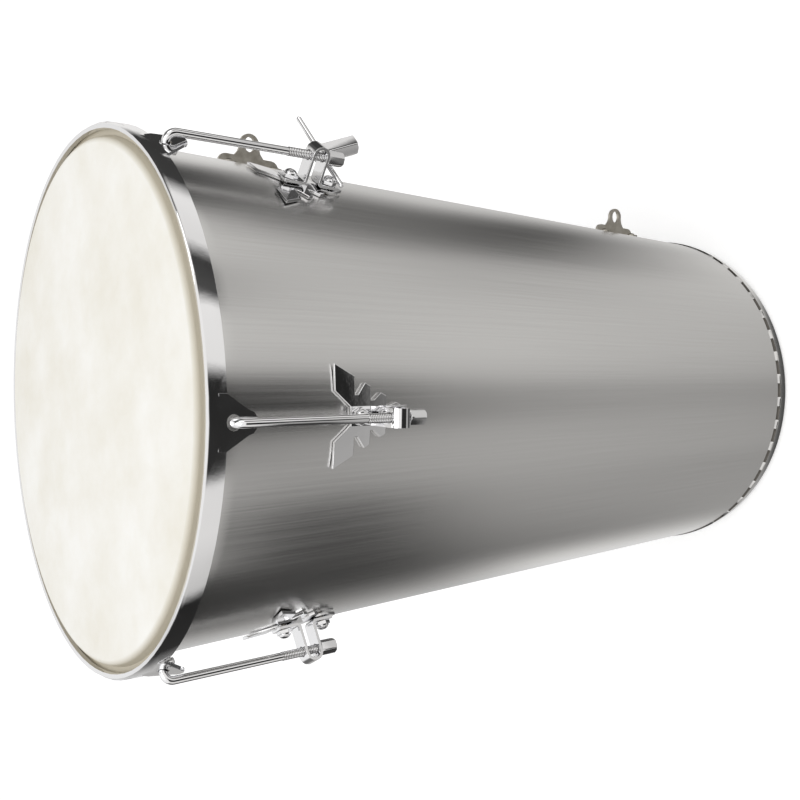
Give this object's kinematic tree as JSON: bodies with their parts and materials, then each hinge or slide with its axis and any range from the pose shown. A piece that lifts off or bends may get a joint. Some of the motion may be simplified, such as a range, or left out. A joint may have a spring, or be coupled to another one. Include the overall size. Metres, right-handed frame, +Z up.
{
  "type": "tantan drum",
  "caption": "Tapered metal hand drum with a skin head, hooked tension rods, fishbone lugs, strap eyes and a parked tuning key.",
  "frame": {"origin": "centre of the open end, on the plane that the drum stands on", "axes": "+Z up the drum's axis, from the open end to the head; the lug seen in front is at azimuth -30 degrees and the strap eyes are at +60 degrees"},
  "size_m": [0.377, 0.4074, 0.6008],
  "materials": {
    "satin_metal": "satin, brushed along its length",
    "chrome": "mirror",
    "grey_steel": "dull",
    "cream_skin": "matt, faintly mottled"
  },
  "bodies": {
    "drum": {"cap_nut_1a": "chrome", "cap_nut_1b": "chrome", "cap_nut_2a": "chrome", "cap_nut_2b": "chrome", "cap_nut_3a": "chrome", "cap_nut_3b": "chrome", "cap_nut_4a": "chrome", "cap_nut_4b": "chrome", "cap_nut_5a": "chrome", "cap_nut_5b": "chrome", "cap_nut_6a": "chrome", "cap_nut_6b": "chrome", "flesh_hoop": "grey_steel", "head": "cream_skin", "lug_bolt_1a": "grey_steel", "lug_bolt_1b": "grey_steel", "lug_bolt_2a": "grey_steel", "lug_bolt_2b": "grey_steel", "lug_bolt_3a": "grey_steel", "lug_bolt_3b": "grey_steel", "lug_bolt_4a": "grey_steel", "lug_bolt_4b": "grey_steel", "lug_bolt_5a": "grey_steel", "lug_bolt_5b": "grey_steel", "lug_bolt_6a": "grey_steel", "lug_bolt_6b": "grey_steel", "lug_plate_1": "chrome", "lug_plate_2": "chrome", "lug_plate_3": "chrome", "lug_plate_4": "chrome", "lug_plate_5": "chrome", "lug_plate_6": "chrome", "lug_stirrup_1": "chrome", "lug_stirrup_2": "chrome", "lug_stirrup_3": "chrome", "lug_stirrup_4": "chrome", "lug_stirrup_5": "chrome", "lug_stirrup_6": "chrome", "shell": "satin_metal", "strap_eye_1": "grey_steel", "strap_eye_2": "grey_steel", "strap_rivet_1a": "grey_steel", "strap_rivet_1b": "grey_steel", "strap_rivet_2a": "grey_steel", "strap_rivet_2b": "grey_steel"},
    "counter_hoop": {"hoop": "chrome", "tension_rod_1": "chrome", "tension_rod_2": "chrome", "tension_rod_3": "chrome", "tension_rod_4": "chrome", "tension_rod_5": "chrome", "tension_rod_6": "chrome"},
    "tuning_key": {"key_bar": "chrome", "key_socket": "chrome"},
    "nut_1": {"rod_nut_1": "chrome"},
    "nut_2": {"rod_nut_2": "chrome"},
    "nut_3": {"rod_nut_3": "chrome"},
    "nut_4": {"rod_nut_4": "chrome"},
    "nut_5": {"rod_nut_5": "chrome"},
    "nut_6": {"rod_nut_6": "chrome"}
  },
  "joints": [
    {"name": "hoop_slide", "type": "slide", "parent": "drum", "child": "counter_hoop", "axis": [0, 0, 1], "range_m": [0, 0.00254]},
    {"name": "nut_1_turn", "type": "hinge", "parent": "drum", "child": "nut_1", "pos_m": [0.16888, -0.0975, 0.47038], "axis": [-0.0181, 0.0104, -0.9998], "range_deg": [0, 720]},
    {"name": "nut_2_turn", "type": "hinge", "parent": "drum", "child": "nut_2", "pos_m": [0.16888, 0.0975, 0.47038], "axis": [-0.0181, -0.0104, -0.9998], "range_deg": [0, 720]},
    {"name": "nut_3_turn", "type": "hinge", "parent": "drum", "child": "nut_3", "pos_m": [0, 0.195, 0.47038], "axis": [0, -0.0209, -0.9998], "range_deg": [0, 720]},
    {"name": "nut_4_turn", "type": "hinge", "parent": "drum", "child": "nut_4", "pos_m": [-0.16888, 0.0975, 0.47038], "axis": [0.0181, -0.0104, -0.9998], "range_deg": [0, 720]},
    {"name": "nut_5_turn", "type": "hinge", "parent": "drum", "child": "nut_5", "pos_m": [-0.16888, -0.0975, 0.47038], "axis": [0.0181, 0.0104, -0.9998], "range_deg": [0, 720]},
    {"name": "nut_6_turn", "type": "hinge", "parent": "drum", "child": "nut_6", "pos_m": [0, -0.195, 0.47038], "axis": [0, 0.0209, -0.9998], "range_deg": [0, 720]},
    {"name": "key_slide", "type": "slide", "parent": "drum", "child": "tuning_key", "axis": [-0.0971, 0.9702, 0.2219], "range_m": [0, 0.04]}
  ],
  "couplings": [
    {"joint": "nut_1_turn", "follows": "hoop_slide", "rad_per_m": 4947.3},
    {"joint": "nut_2_turn", "follows": "hoop_slide", "rad_per_m": 4947.3},
    {"joint": "nut_3_turn", "follows": "hoop_slide", "rad_per_m": 4947.3},
    {"joint": "nut_4_turn", "follows": "hoop_slide", "rad_per_m": 4947.3},
    {"joint": "nut_5_turn", "follows": "hoop_slide", "rad_per_m": 4947.3},
    {"joint": "nut_6_turn", "follows": "hoop_slide", "rad_per_m": 4947.3}
  ]
}
